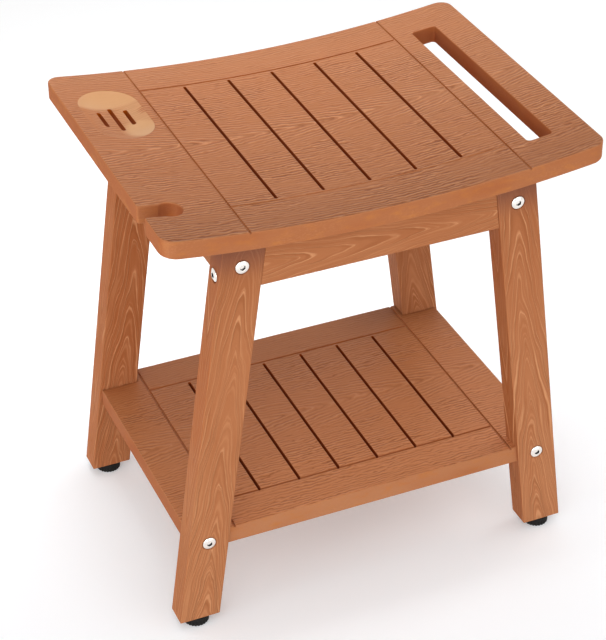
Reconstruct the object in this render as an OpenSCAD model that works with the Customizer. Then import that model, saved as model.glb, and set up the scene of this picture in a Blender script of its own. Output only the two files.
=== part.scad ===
// Two-level shower bench in plastic lumber: a dished seat slab, four splayed
// legs, four rails under the seat, a low shelf slab and four screw-in feet.
// Millimetres. X along the seat, Y to the back, Z up, floor at Z = 0.

/* [Seat] */
// Length of the seat slab, left to right
seat_l = 450; // [430:1:480]
// Width of the seat slab, front to back
seat_w = 344; // [334:1:360]
// Thickness of the seat slab
seat_t = 18.5; // [16:0.5:22]
// Height of the seat's lowest line above the floor
seat_h = 462; // [440:1:480]
// How far the two ends rise above that line
seat_rise = 16; // [8:1:24]
// Radius of the seat's corners seen from above
seat_corner_r = 15; // [6:1:24]

/* [Slats and grooves] */
// Distance between neighbouring drain slots in the seat
seat_pitch = 47.6; // [44:0.1:50]
// Number of drain slots in the seat
seat_slots = 5; // [3:2:5]
// Distance of the seat slots' ends from the middle of the long grooves
seat_slot_in = 3.8; // [2.6:0.1:20]
// Width of every drain slot
slot_w = 2.8; // [2:0.1:4]
// Distance of the seat's cross grooves from its ends
seat_cross_in = 83; // [80:1:88]
// Distance of the seat's long grooves from its edges
seat_long_in = 48.7; // [42:0.1:54]
// Width of the board grooves
groove_w = 2.4; // [1.5:0.1:3]
// Depth of the board grooves
groove_d = 1.8; // [1:0.1:3]

/* [Handle slot] */
// Width of the handle slot
handle_w = 27; // [22:1:32]
// Distance of the handle slot's ends from the seat's edges
handle_end_in = 45; // [38:1:70]
// Distance of the handle slot's centre line from the seat's end
handle_in = 48.7; // [44:0.1:54]
// Radius of the handle slot's corners
handle_r = 4; // [2:0.5:8]

/* [Keyhole] */
// Width of the open channel
key_w = 20.4; // [14:0.1:22]
// Radius of the round hole
key_r = 12.5; // [11.5:0.1:14]
// Distance of the round hole's centre from the seat's end
key_in = 27.5; // [24:0.5:32]
// Distance of the keyhole's centre line from the seat's front edge
key_front_in = 58.5; // [54:0.5:64]

/* [Soap dish] */
// Width of the dish, left to right
dish_w = 61; // [54:1:64]
// Length of the dish, front to back
dish_l = 105.5; // [90:0.5:110]
// Depth of the dish floor below its rim
dish_d = 6.5; // [4:0.5:8]
// Distance of the dish centre from the seat's left end
dish_in = 44; // [40:0.5:48]
// Distance of the dish centre from the seat's back edge
dish_back_in = 92.2; // [82:0.1:102]
// Level run of the dish walls for each millimetre of their height
dish_slope = 1.5; // [1:0.1:2]
// Width of the dish's drain slots
drain_w = 3.8; // [3:0.1:3.9]
// Length of the middle drain slot
drain_l = 47.5; // [30:0.5:52]
// Length of the outer drain slots
drain_side_l = 30.9; // [20:0.1:36]
// Distance between neighbouring drain slots
drain_pitch = 13.6; // [10:0.1:14]

/* [Legs] */
// Width of a leg, measured level from left to right
leg_w = 43; // [38:1:46]
// Thickness of a leg, front to back
leg_t = 26; // [22:1:30]
// Distance of a leg's centre inside the seat's end, at its lower end
leg_foot_in = 27.9; // [23:0.1:35]
// Distance of a leg's outer face inside the seat's front or back edge
leg_face_in = 21.5; // [17:0.5:25]
// Lean of the legs towards the middle, in degrees
leg_lean = 7.6; // [5:0.1:9]

/* [Rails] */
// Height of the rails at the middle of the seat
rail_h = 48.9; // [44:0.1:56]
// Thickness of the front and back aprons
apron_t = 25; // [20:1:26]
// Thickness of the side rails
side_rail_t = 25.6; // [20:0.1:28]

/* [Shelf] */
// Distance of the shelf's ends inside the legs' outer sides
shelf_end_in = 3.5; // [1:0.1:8]
// Distance of the shelf's edges inside the legs' outer faces
shelf_edge_in = 3.9; // [1:0.1:10]
// Thickness of the shelf slab
shelf_t = 19.5; // [18:0.5:22]
// Height of the shelf's top above the floor
shelf_h = 115; // [100:1:160]
// Distance between neighbouring drain slots in the shelf
shelf_pitch = 44.2; // [42:0.1:45]
// Number of drain slots in the shelf
shelf_slots = 6; // [4:2:6]
// Distance of the shelf slots' ends from the middle of the long grooves
shelf_slot_in = 3.2; // [2.6:0.1:20]
// Distance of the shelf's cross grooves from its ends
shelf_cross_in = 47; // [44:0.1:50]
// Distance of the shelf's long grooves from its edges
shelf_long_in = 43.4; // [36:0.1:46]

/* [Bolts and nuts] */
// Height of the front and back bolts above the rails' lower edges
face_bolt_up = 24.9; // [22:0.1:28]
// Height of the side bolts above the rails' lower edges
side_bolt_up = 14.9; // [12:0.1:16]
// Diameter of the bolt shanks
bolt_d = 6; // [5:0.5:6]
// Length of the shank in front and shelf bolts
bolt_l = 52; // [48:1:60]
// Length of the shank in side bolts
side_bolt_l = 68; // [64:1:74]
// Diameter of the bolt heads
head_d = 13.6; // [12:0.1:14.5]
// Height of the bolt heads
head_h = 3.4; // [3:0.1:4]
// Width across the flats of the hexagon socket in a head
socket_af = 4; // [3:0.5:5]
// Depth of the hexagon socket
socket_d = 2.2; // [1.5:0.1:2.4]
// Diameter of the shallow recess around a head
recess_d = 15.6; // [15:0.1:17]
// Depth of that recess at its middle
recess_deep = 1.2; // [1:0.1:2]
// Diameter of the barrel nuts
barrel_d = 10; // [9:0.5:11]
// Length of the barrel nuts
barrel_l = 14; // [11:0.5:14]
// Distance of the barrel nuts from the ends of the rails and the shelf's edges
barrel_in = 14; // [12:1:18]
// Depth of the bolt holes past the middle of the nuts
hole_past = 16; // [14:1:18]

/* [Seat screws] */
// Diameter of the screw shanks
screw_d = 4; // [3.5:0.1:5]
// Length of the screws under their heads
screw_l = 34; // [30:1:36]
// How deep the screws bite into the seat
screw_bite = 10; // [8:0.5:12]
// Diameter of the screw heads
screw_head_d = 8; // [7:0.1:9]
// Height of the screw heads
screw_head_h = 2.6; // [2:0.1:3]
// Distance of the apron screws from the middle
apron_screw_x = 70; // [50:1:90]
// Distance of the side rail screws from the middle
rail_screw_y = 70; // [50:1:90]

/* [Feet] */
// Diameter of a foot pad
pad_d = 26; // [24:0.5:28]
// Height of a foot pad
pad_h = 9.6; // [8:0.1:9.6]
// Number of grip notches around a foot pad
pad_notches = 24; // [16:1:32]
// Radius of the grip notches
notch_r = 1.2; // [0.8:0.1:1.4]
// Distance of the notches' upper ends below the pad's top
notch_in = 2.4; // [1.5:0.1:4]
// Width of the bevel round a pad's top
pad_top_bevel = 1.4; // [0.6:0.1:2]
// Width of the bevel round a pad's sole
pad_sole_bevel = 1; // [0.5:0.1:1.5]
// Room between a pad and its leg
foot_gap = 0.4; // [0.4:0.1:4]
// Diameter of a foot's stud
stud_d = 8; // [6:0.5:8]
// Length of a stud above its pad
stud_l = 24; // [20:1:26]
// Height of a stud's lower end above the floor
collar_z = 3.6; // [3:0.1:4]
// Thickness of the collar on a stud's lower end
collar_t = 2.4; // [2:0.1:3]
// How far the collar stands out round the stud
collar_out = 2.5; // [1.5:0.1:2.5]
// Outer diameter of the inserts in the legs
insert_d = 12; // [11:0.5:14]
// Length of the inserts
insert_l = 26; // [22:1:28]

/* [Fits] */
// Gap between curved or wrapped faces
fit_gap = 0.3; // [0.2:0.05:0.5]
// Room around a screw in its hole, on the radius
hole_gap = 0.2; // [0.1:0.05:0.4]
// Room around a moving stud and around a thread, on the radius
run_gap = 0.06; // [0.03:0.01:0.1]

/* [Hidden] */
$fn = 64;
fine = 720;
cut = 1;
teak = "#b5714a";
steel = "#d9dadb";
zinc = "#a9a79c";
black = "#262524";
// the seat's top is part of a wide cylinder that lies along Y
arc_r = (pow(seat_l / 2, 2) + pow(seat_rise, 2)) / (2 * seat_rise);
arc_z = seat_h + arc_r;
under_r = arc_r + seat_t;
lean = tan(leg_lean);
leg_foot_z = pad_h + foot_gap;
leg_foot_x = seat_l / 2 - leg_foot_in;
leg_out_y = seat_w / 2 - leg_face_in;
leg_in_y = leg_out_y - leg_t;
leg_y = leg_out_y - leg_t / 2;
rail_low = seat_h - seat_t - rail_h;
front_bolt_h = rail_low + face_bolt_up;
side_bolt_h = rail_low + side_bolt_up;
seat_cross_x = seat_l / 2 - seat_cross_in;
seat_long_y = seat_w / 2 - seat_long_in;
seat_slot_l = 2 * (seat_long_y - seat_slot_in);
handle_x = seat_l / 2 - handle_in;
handle_l = seat_w - 2 * handle_end_in;
key_x = -seat_l / 2 + key_in;
key_y = -seat_w / 2 + key_front_in;
dish_x = -seat_l / 2 + dish_in;
dish_y = seat_w / 2 - dish_back_in;
side_rail_x = leg_x(front_bolt_h);
face_head_y = leg_out_y - recess_deep;
shelf_mid = shelf_h - shelf_t / 2;
shelf_bolt_x = leg_x(shelf_mid);
shelf_l = 2 * (shelf_bolt_x + leg_w / 2 - shelf_end_in);
shelf_w = 2 * (leg_out_y - shelf_edge_in);
shelf_cross_x = shelf_l / 2 - shelf_cross_in;
shelf_long_y = shelf_w / 2 - shelf_long_in;
shelf_slot_l = 2 * (shelf_long_y - shelf_slot_in);

// height of the seat's top face at x
function seat_top(x) = arc_z - sqrt(arc_r * arc_r - x * x);
// distance of a leg's centre from the middle at height z
function leg_x(z) = leg_foot_x - lean * (z - leg_foot_z);

// a wide cylinder along Y about the seat's arc centre
module arc_drum(r, w) {
  translate([0, 0, arc_z])
    rotate([90, 0, 0])
      cylinder(r = r, h = w, center = true, $fn = fine);
}

// rectangle with round corners
module round_plate(l, w, r) {
  square([l - 2 * r, w], center = true);
  square([l, w - 2 * r], center = true);
  for (i = [-1, 1], j = [-1, 1])
    translate([i * (l / 2 - r), j * (w / 2 - r)])
      circle(r = r);
}

// upright slot along Y with round ends
module slot_cutter(x, y, l, w, z0, z1) {
  translate([x, y, z0])
    linear_extrude(height = z1 - z0) {
      square([w, l - w], center = true);
      for (j = [-1, 1])
        translate([0, j * (l - w) / 2])
          circle(d = w, $fn = 32);
    }
}

module seat_grooves() {
  for (i = [-1, 1])
    translate([i * seat_cross_x, 0, seat_top(seat_cross_x) - groove_d + seat_t / 2])
      cube([groove_w, seat_w + 2 * cut, seat_t], center = true);
  intersection() {
    for (j = [-1, 1])
      translate([0, j * seat_long_y, 0])
        arc_drum(arc_r + groove_d, groove_w);
    translate([0, 0, seat_h])
      cube([2 * seat_cross_x, seat_w, 4 * seat_t], center = true);
  }
}

module seat_drains() {
  half = (seat_slots - 1) / 2;
  for (i = [-half : half])
    slot_cutter(i * seat_pitch, 0, seat_slot_l, slot_w, seat_h - 2 * seat_t, seat_h + 2 * seat_t);
}

module handle_cutter() {
  translate([handle_x, 0, seat_h - 2 * seat_t])
    linear_extrude(height = 4 * seat_t)
      round_plate(handle_w, handle_l, handle_r);
}

module keyhole_cutter() {
  translate([key_x, key_y, seat_h - 2 * seat_t]) {
    cylinder(r = key_r, h = 4 * seat_t);
    translate([-key_in - cut, -key_w / 2, 0])
      cube([key_in + cut, key_w, 4 * seat_t]);
  }
}

// bowl square to the seat's arc: a level floor, a cone at each end and a wedge between
module dish_cutter() {
  rim_z = seat_top(dish_x);
  top_r = dish_w / 2;
  wall = dish_slope * dish_d;
  rise = 2 * dish_d;
  grow = 2 * wall;
  run = dish_l / 2 - top_r;
  floor_r = top_r - wall;
  translate([0, dish_y, arc_z])
    rotate([0, -asin(dish_x / arc_r), 0])
      translate([0, 0, -arc_r - dish_d]) {
        for (j = [-1, 1])
          translate([0, j * run, 0])
            cylinder(r1 = floor_r, r2 = floor_r + grow, h = rise);
        rotate([90, 0, 0])
          linear_extrude(height = 2 * run, center = true)
            polygon([[-floor_r, 0], [floor_r, 0], [floor_r + grow, rise], [-floor_r - grow, rise]]);
      }
  for (i = [-1 : 1])
    slot_cutter(dish_x + i * drain_pitch, dish_y, i == 0 ? drain_l : drain_side_l, drain_w,
      rim_z - 2 * seat_t, rim_z);
}

module seat_panel() {
  color(teak)
    difference() {
      intersection() {
        translate([0, 0, seat_h - 2 * seat_t])
          linear_extrude(height = 4 * seat_t)
            round_plate(seat_l, seat_w, seat_corner_r);
        arc_drum(under_r, seat_w + 2 * cut);
      }
      arc_drum(arc_r, seat_w + 4 * cut);
      seat_grooves();
      seat_drains();
      handle_cutter();
      keyhole_cutter();
      dish_cutter();
      screw_places() screw_bore();
    }
}

// one leg as a leaning bar, standing at +X
module leg_bar(y0, y1, grow) {
  z1 = seat_h + seat_t;
  translate([0, y1, 0])
    rotate([90, 0, 0])
      linear_extrude(height = y1 - y0)
        polygon([
          [leg_x(leg_foot_z) - leg_w / 2 - grow, leg_foot_z],
          [leg_x(leg_foot_z) + leg_w / 2 + grow, leg_foot_z],
          [leg_x(z1) + leg_w / 2 + grow, z1],
          [leg_x(z1) - leg_w / 2 - grow, z1]
        ]);
}

// places a child made for the back right corner at corner i, j
module corner(i, j) {
  mirror([i < 0 ? 1 : 0, 0, 0])
    mirror([0, j < 0 ? 1 : 0, 0])
      children();
}

module four_corners() {
  for (i = [-1, 1], j = [-1, 1])
    corner(i, j) children();
}

// drillings of one leg at the back right corner
module leg_drillings() {
  hole = bolt_d + 2 * hole_gap;
  for (p = [[leg_x(front_bolt_h), front_bolt_h], [shelf_bolt_x, shelf_mid]])
    translate([p[0], leg_out_y, p[1]])
      rotate([90, 0, 0]) {
        translate([0, 0, -cut])
          cylinder(d = recess_d, h = recess_deep + cut);
        cylinder(d = hole, h = leg_t + cut);
      }
  translate([leg_x(side_bolt_h) + leg_w / 2, leg_y, side_bolt_h])
    rotate([0, -90, 0]) {
      translate([0, 0, -recess_d / 4])
        cylinder(d = recess_d, h = recess_d / 4 + recess_deep);
      cylinder(d = hole, h = leg_w + recess_d / 2);
    }
  translate([leg_foot_x, leg_y, leg_foot_z - cut])
    cylinder(d = insert_d + 2 * run_gap, h = insert_l + cut);
}

module leg(i, j) {
  color(teak)
    corner(i, j)
      difference() {
        leg_bar(leg_in_y, leg_out_y, 0);
        arc_drum(under_r + fit_gap, seat_w);
        leg_drillings();
      }
}

module leg_front_left() { leg(-1, -1); }
module leg_front_right() { leg(1, -1); }
module leg_back_left() { leg(-1, 1); }
module leg_back_right() { leg(1, 1); }

// an apron fills the space between two legs, so its ends lean as they do
module apron(j) {
  z1 = seat_h + seat_t;
  color(teak)
    corner(1, j)
      difference() {
        translate([0, leg_y + apron_t / 2, 0])
          rotate([90, 0, 0])
            linear_extrude(height = apron_t)
              polygon([
                [-leg_x(rail_low) + leg_w / 2, rail_low],
                [leg_x(rail_low) - leg_w / 2, rail_low],
                [leg_x(z1) - leg_w / 2, z1],
                [-leg_x(z1) + leg_w / 2, z1]
              ]);
        arc_drum(under_r + fit_gap, seat_w);
        for (i = [-1, 1])
          corner(i, 1)
            apron_end_drillings();
        screw_places() screw_bore();
      }
}

module apron_end_drillings() {
  x_end = leg_x(side_bolt_h) - leg_w / 2;
  translate([x_end - barrel_in - hole_past, leg_y, side_bolt_h])
    rotate([0, 90, 0])
      cylinder(d = bolt_d + 2 * hole_gap, h = barrel_in + hole_past + leg_w / 4);
  translate([x_end - barrel_in, leg_y + barrel_l / 2, side_bolt_h])
    rotate([90, 0, 0])
      cylinder(d = barrel_d + 2 * hole_gap, h = barrel_l + apron_t);
}

module apron_front() { apron(-1); }
module apron_back() { apron(1); }

module side_rail(i) {
  color(teak)
    corner(i, 1)
      difference() {
        translate([side_rail_x - side_rail_t / 2, -leg_in_y, rail_low])
          cube([side_rail_t, 2 * leg_in_y, seat_h + seat_rise - rail_low]);
        arc_drum(under_r + fit_gap, seat_w);
        for (j = [-1, 1])
          corner(1, j)
            side_rail_end_drillings();
        screw_places() screw_bore();
      }
}

module side_rail_end_drillings() {
  translate([side_rail_x, leg_in_y + cut, front_bolt_h])
    rotate([90, 0, 0])
      cylinder(d = bolt_d + 2 * hole_gap, h = barrel_in + hole_past + cut);
  translate([side_rail_x - side_rail_t, leg_in_y - barrel_in, front_bolt_h])
    rotate([0, 90, 0])
      cylinder(d = barrel_d + 2 * hole_gap, h = side_rail_t + barrel_l / 2);
}

module side_rail_left() { side_rail(-1); }
module side_rail_right() { side_rail(1); }

module shelf_panel() {
  half = (shelf_slots - 1) / 2;
  color(teak)
    difference() {
      translate([-shelf_l / 2, -shelf_w / 2, shelf_h - shelf_t])
        cube([shelf_l, shelf_w, shelf_t]);
      four_corners() {
        leg_bar(leg_in_y - fit_gap, leg_out_y + cut, fit_gap);
        translate([leg_x(shelf_mid), leg_in_y - fit_gap, shelf_h - 2 * shelf_t])
          cube([shelf_l / 2, leg_t + cut, 4 * shelf_t]);
      }
      for (i = [-half : half])
        slot_cutter(i * shelf_pitch, 0, shelf_slot_l, slot_w, shelf_h - 2 * shelf_t, shelf_h + cut);
      for (i = [-1, 1])
        translate([i * shelf_cross_x, 0, shelf_h])
          cube([groove_w, shelf_w + 2 * cut, 2 * groove_d], center = true);
      for (j = [-1, 1])
        translate([0, j * shelf_long_y, shelf_h])
          cube([2 * shelf_cross_x, groove_w, 2 * groove_d], center = true);
      four_corners()
        shelf_end_drillings();
    }
}

module shelf_end_drillings() {
  translate([shelf_bolt_x, leg_in_y + cut, shelf_mid])
    rotate([90, 0, 0])
      cylinder(d = bolt_d + 2 * hole_gap, h = barrel_in + hole_past + cut);
  translate([shelf_bolt_x, leg_in_y - barrel_in, shelf_mid - shelf_t])
    cylinder(d = barrel_d + 2 * hole_gap, h = shelf_t + barrel_l / 2);
}

// bolt along -Z with its head's underside at the origin
module bolt(l) {
  ball = (pow(head_d / 2, 2) + pow(head_h, 2)) / (2 * head_h);
  difference() {
    union() {
      intersection() {
        translate([0, 0, head_h - ball])
          sphere(r = ball);
        cylinder(d = head_d, h = head_h);
      }
      translate([0, 0, -l])
        cylinder(d = bolt_d, h = l + 0.5);
    }
    translate([0, 0, head_h - socket_d])
      cylinder(d = socket_af / cos(30), h = socket_d + cut, $fn = 6);
  }
}

module face_bolts() {
  color(steel)
    four_corners()
      translate([side_rail_x, face_head_y, front_bolt_h])
        rotate([-90, 0, 0])
          bolt(bolt_l);
}

module side_bolts() {
  color(steel)
    four_corners()
      translate([leg_x(side_bolt_h) + leg_w / 2 - recess_deep, leg_y, side_bolt_h])
        rotate([0, 90, 0])
          bolt(side_bolt_l);
}

module shelf_bolts() {
  color(steel)
    four_corners()
      translate([shelf_bolt_x, face_head_y, shelf_mid])
        rotate([-90, 0, 0])
          bolt(bolt_l);
}

// barrel nut along Z with its cross hole along Y
module barrel_nut() {
  difference() {
    cylinder(d = barrel_d, h = barrel_l, center = true);
    rotate([90, 0, 0])
      cylinder(d = bolt_d + 2 * run_gap, h = 2 * barrel_d, center = true);
  }
}

module side_rail_nuts() {
  color(zinc)
    four_corners()
      translate([side_rail_x, leg_in_y - barrel_in, front_bolt_h])
        rotate([0, 90, 0])
          barrel_nut();
}

module apron_nuts() {
  color(zinc)
    four_corners()
      translate([leg_x(side_bolt_h) - leg_w / 2 - barrel_in, leg_y, side_bolt_h])
        rotate([90, 0, 0])
          rotate([0, 0, 90])
            barrel_nut();
}

module shelf_nuts() {
  color(zinc)
    four_corners()
      translate([shelf_bolt_x, leg_in_y - barrel_in, shelf_mid])
        barrel_nut();
}

// places of the seat screws, each at the height where its head bears
module screw_places() {
  for (i = [-1, 1], j = [-1, 1])
    translate([i * apron_screw_x, j * leg_y, seat_top(apron_screw_x) - seat_t - screw_l + screw_bite])
      children();
  for (i = [-1, 1], j = [-1, 1])
    translate([i * side_rail_x, j * rail_screw_y, seat_top(side_rail_x) - seat_t - screw_l + screw_bite])
      children();
}

module screw_bore() {
  cylinder(d = screw_d + 2 * run_gap, h = screw_l + 1);
  translate([0, 0, -rail_h])
    cylinder(d = screw_head_d + 2, h = rail_h);
}

module seat_screws() {
  color(steel)
    screw_places() {
      cylinder(d = screw_d, h = screw_l);
      difference() {
        translate([0, 0, -screw_head_h])
          cylinder(d1 = screw_head_d - 2, d2 = screw_head_d, h = screw_head_h);
        translate([0, 0, -screw_head_h - cut])
          cylinder(d = 0.42 * screw_head_d, h = 0.7 * screw_head_h + cut, $fn = 6);
      }
    }
}

module leg_inserts() {
  color(zinc)
    four_corners()
      translate([leg_foot_x, leg_y, leg_foot_z])
        difference() {
          cylinder(d = insert_d, h = insert_l);
          translate([0, 0, -cut])
            cylinder(d = stud_d + 2 * run_gap, h = insert_l + 2 * cut);
        }
}

// stud with a collar that is let into the pad and holds it
module foot_stud(i, j) {
  color(zinc)
    corner(i, j)
      translate([leg_foot_x, leg_y, 0]) {
        translate([0, 0, collar_z])
          cylinder(d = stud_d, h = pad_h + stud_l - collar_z);
        translate([0, 0, collar_z])
          cylinder(d = stud_d + 2 * collar_out, h = collar_t);
      }
}

module foot_stud_front_left() { foot_stud(-1, -1); }
module foot_stud_front_right() { foot_stud(1, -1); }
module foot_stud_back_left() { foot_stud(-1, 1); }
module foot_stud_back_right() { foot_stud(1, 1); }

module foot_pad(i, j) {
  neck = stud_d / 2 + run_gap;
  room = neck + collar_out;
  color(black)
    corner(i, j)
      translate([leg_foot_x, leg_y, 0])
        difference() {
          rotate_extrude()
            polygon([
              [0, 0], [pad_d / 2 - pad_sole_bevel, 0], [pad_d / 2, pad_sole_bevel],
              [pad_d / 2, pad_h - pad_top_bevel], [pad_d / 2 - pad_top_bevel, pad_h],
              [neck, pad_h], [neck, collar_z + collar_t + run_gap],
              [room, collar_z + collar_t + run_gap], [room, collar_z - run_gap],
              [0, collar_z - run_gap]
            ]);
          for (k = [0 : pad_notches - 1])
            rotate([0, 0, k * 360 / pad_notches])
              translate([pad_d / 2 + 0.4 * notch_r, 0, -cut])
                cylinder(r = notch_r, h = pad_h - notch_in + cut, $fn = 24);
        }
}

module foot_pad_front_left() { foot_pad(-1, -1); }
module foot_pad_front_right() { foot_pad(1, -1); }
module foot_pad_back_left() { foot_pad(-1, 1); }
module foot_pad_back_right() { foot_pad(1, 1); }

seat_panel();
shelf_panel();
leg_front_left();
leg_front_right();
leg_back_left();
leg_back_right();
apron_front();
apron_back();
side_rail_left();
side_rail_right();
face_bolts();
side_bolts();
shelf_bolts();
side_rail_nuts();
apron_nuts();
shelf_nuts();
seat_screws();
leg_inserts();
foot_stud_front_left();
foot_stud_front_right();
foot_stud_back_left();
foot_stud_back_right();
foot_pad_front_left();
foot_pad_front_right();
foot_pad_back_left();
foot_pad_back_right();
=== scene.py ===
import math

import bmesh
import bpy
from mathutils import Matrix, Vector


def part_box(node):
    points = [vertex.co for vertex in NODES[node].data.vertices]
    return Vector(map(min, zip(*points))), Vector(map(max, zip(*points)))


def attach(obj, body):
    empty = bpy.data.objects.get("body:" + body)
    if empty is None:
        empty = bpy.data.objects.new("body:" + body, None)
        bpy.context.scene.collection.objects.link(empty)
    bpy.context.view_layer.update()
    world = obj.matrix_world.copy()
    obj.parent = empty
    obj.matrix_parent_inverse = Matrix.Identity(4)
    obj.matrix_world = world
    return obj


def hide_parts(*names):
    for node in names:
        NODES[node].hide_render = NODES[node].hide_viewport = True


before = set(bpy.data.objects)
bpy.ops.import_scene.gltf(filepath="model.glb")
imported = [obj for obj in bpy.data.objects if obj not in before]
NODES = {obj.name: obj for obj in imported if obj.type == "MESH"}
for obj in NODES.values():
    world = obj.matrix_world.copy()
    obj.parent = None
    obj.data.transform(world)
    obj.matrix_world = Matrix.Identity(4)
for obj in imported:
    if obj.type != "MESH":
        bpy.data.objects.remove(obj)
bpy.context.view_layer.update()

bl_info = {
    "name": "Shower bench dressing",
    "version": (1, 0, 0),
    "blender": (4, 5, 0),
    "location": "3D View > Sidebar > Bench",
    "description": "Dresses the packed shower bench with embossed slabs, bars, bolts, feet and a studio",
    "category": "Object",
}

MM = 0.001
SEAT_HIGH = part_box("seat_panel")[1]
SHELF_LOW, SHELF_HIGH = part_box("shelf_panel")
CORNERS = ("front_left", "front_right", "back_left", "back_right")

# Points this close together are one point.
SAME = 1e-7
# A CAD mesh's points agree to this much.
CAD_SAME = 2e-6
# How far a cutter stands out of what it cuts.
CLEAR = 5 * MM
GROOVE_LIP = 0.45 * MM
# Longest strip of the seat that stays flat when it is bent.
STRIP = 6 * MM
# Edges of a leg or rail that are shorter than this stay sharp.
SHORT_EDGE = 15 * MM
# Height of the pocket in a foot pad that holds the stud's collar.
POCKET_LOW, POCKET_HIGH = 3.54 * MM, 6.06 * MM
COLLAR_REACH = 2.5 * MM
PAD_NOTCHES = 24
NOTCH_DEPTH = 0.8 * MM
NOTCH_TOP = 7.0 * MM
THREAD_DEPTH = 0.55 * MM
SENSOR = 36.0
FLOOR_SIZE = 9.0
FLOOR_DROP = 0.2 * MM
WHITE = (1.0, 1.0, 1.0, 1.0)
FAR_FLOOR = (0.96, 0.96, 0.96)
# Painted shade: the dark metal on the walls of the bolts' sockets.
SOCKET_SHADE = (0.03, 0.03, 0.033)


def length(name, description, value):
    """A size in metres that shows in the panel."""
    return bpy.props.FloatProperty(
        name=name, description=description, default=value, min=0.0,
        unit="LENGTH", subtype="DISTANCE", precision=4)


def number(name, description, value, low=0.0, high=1.0):
    """A plain number with its limits."""
    return bpy.props.FloatProperty(
        name=name, description=description, default=value, min=low, max=high)


def colour(name, description, value):
    """A linear colour."""
    return bpy.props.FloatVectorProperty(
        name=name, description=description, default=value, size=3,
        min=0.0, max=1.0, subtype="COLOR")


class SeatSizes(bpy.types.PropertyGroup):
    """Sizes of the seat slab and what is cut into it."""
    thickness: length("Thickness", "Thickness of the slab", 18.5 * MM)
    rise: length("End rise", "How far the ends stand above the lowest line", 16 * MM)
    corner: length("Corner radius", "Radius of the corners seen from above", 15 * MM)
    edge: length("Edge radius", "Rounding of the long edges", 1.6 * MM)
    mouth: length("Mouth radius", "Rounding where the keyhole opens", 2.5 * MM)
    lip: length("Slot lip", "Rounding round every slot", 0.35 * MM)
    slot_pitch: length("Slot pitch", "Distance between drain slots", 47.6 * MM)
    slot_length: length("Slot length", "Length of the drain slots", 239 * MM)
    slot_reach: length("Slot reach", "How much further forward than back the slots run", 1.0 * MM)
    slot_width: length("Slot width", "Width of the drain slots", 3.1 * MM)
    cross_groove: length("Cross groove place", "From the middle to a cross groove", 142 * MM)
    long_groove: length("Long groove place", "From the middle to a long groove", 123.3 * MM)
    groove_width: length("Groove width", "Width of the grooves between boards", 2.0 * MM)
    groove_depth: length("Groove depth", "Depth of the grooves between boards", 1.5 * MM)
    front_groove: length("Front groove depth", "Depth of the front long groove", 0.7 * MM)
    handle_x: length("Handle place", "Distance of the handle slot from the middle", 176.3 * MM)
    handle_width: length("Handle width", "Width of the handle slot", 27 * MM)
    handle_length: length("Handle length", "Length of the handle slot", 254 * MM)
    handle_corner: length("Handle corner", "Corner radius of the handle slot", 4 * MM)
    key_x: length("Keyhole place", "Distance of the round hole from the middle", 197.5 * MM)
    key_y: length("Keyhole line", "Distance of the keyhole in front of the middle", 113.5 * MM)
    key_radius: length("Keyhole radius", "Radius of the round hole", 12.5 * MM)
    key_width: length("Channel width", "Width of the channel to the end", 20.4 * MM)
    dish_x: length("Dish place", "Distance of the dish from the middle", 181 * MM)
    dish_y: length("Dish line", "Distance of the dish behind the middle", 79.8 * MM)
    dish_width: length("Dish width", "Width of the soap dish", 61 * MM)
    dish_length: length("Dish length", "Length of the soap dish", 105.5 * MM)
    dish_depth: length("Dish depth", "Depth of the soap dish", 6.5 * MM)
    drain_width: length("Drain width", "Width of the dish's slots", 4.5 * MM)
    drain_length: length("Drain length", "Length of the middle slot in the dish", 47.5 * MM)
    drain_side: length("Side drain length", "Length of the outer slots in the dish", 30.9 * MM)
    drain_pitch: length("Drain pitch", "Distance between the dish's slots", 13.6 * MM)


class ShelfSizes(bpy.types.PropertyGroup):
    """Sizes of the shelf slab."""
    edge: length("Edge radius", "Rounding of the slab's edges", 1.2 * MM)
    lip: length("Slot lip", "Rounding round every slot", 0.35 * MM)
    slot_pitch: length("Slot pitch", "Distance between drain slots", 44.2 * MM)
    slot_length: length("Slot length", "Length of the drain slots", 200 * MM)
    slot_reach: length("Slot reach", "How much further forward than back the slots run", 2.8 * MM)
    slot_width: length("Slot width", "Width of the drain slots", 3.1 * MM)
    cross_groove: length("Cross groove place", "From the middle to a cross groove", 155.4 * MM)
    long_groove: length("Long groove place", "From the middle to a long groove", 103.2 * MM)
    groove_width: length("Groove width", "Width of the grooves between boards", 2.4 * MM)
    groove_depth: length("Groove depth", "Depth of the grooves between boards", 1.8 * MM)
    leg_gap: length("Gap at the legs", "Room between the slab and a leg", 0.3 * MM)


class FrameSizes(bpy.types.PropertyGroup):
    """Sizes of the legs, rails, bolts and feet."""
    leg_width: length("Leg width", "Level width of a leg", 43 * MM)
    leg_thick: length("Leg thickness", "Thickness of a leg, front to back", 26 * MM)
    foot_x: length("Leg place", "Distance of a leg's lower end from the middle", 197.1 * MM)
    leg_y: length("Leg line", "Distance of a leg's centre line from the middle", 137.5 * MM)
    lift: length("Leg lift", "Height of the legs' lower ends", 10 * MM)
    lean: bpy.props.FloatProperty(
        name="Lean", description="Lean of the legs towards the middle",
        default=math.radians(7.6), subtype="ANGLE", unit="ROTATION")
    bar_edge: length("Bar edge radius", "Rounding of the legs' and rails' edges", 1.1 * MM)
    head_width: length("Bolt head width", "Diameter of the bolt heads", 13.6 * MM)
    head_height: length("Bolt head height", "Height of the bolt heads", 3.4 * MM)
    shank: length("Bolt shank", "Diameter of the shanks", 6 * MM)
    socket: length("Socket width", "Width across the socket's flats", 5 * MM)
    socket_depth: length("Socket depth", "Depth of the hexagon socket", 2.0 * MM)
    pad_width: length("Pad width", "Diameter of a foot pad", 26.4 * MM)
    pad_height: length("Pad height", "Height of a foot pad", 9.6 * MM)
    stud: length("Stud width", "Diameter of a foot's stud", 8 * MM)
    thread: length("Thread pitch", "Distance between the stud's threads", 1.25 * MM)


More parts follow.
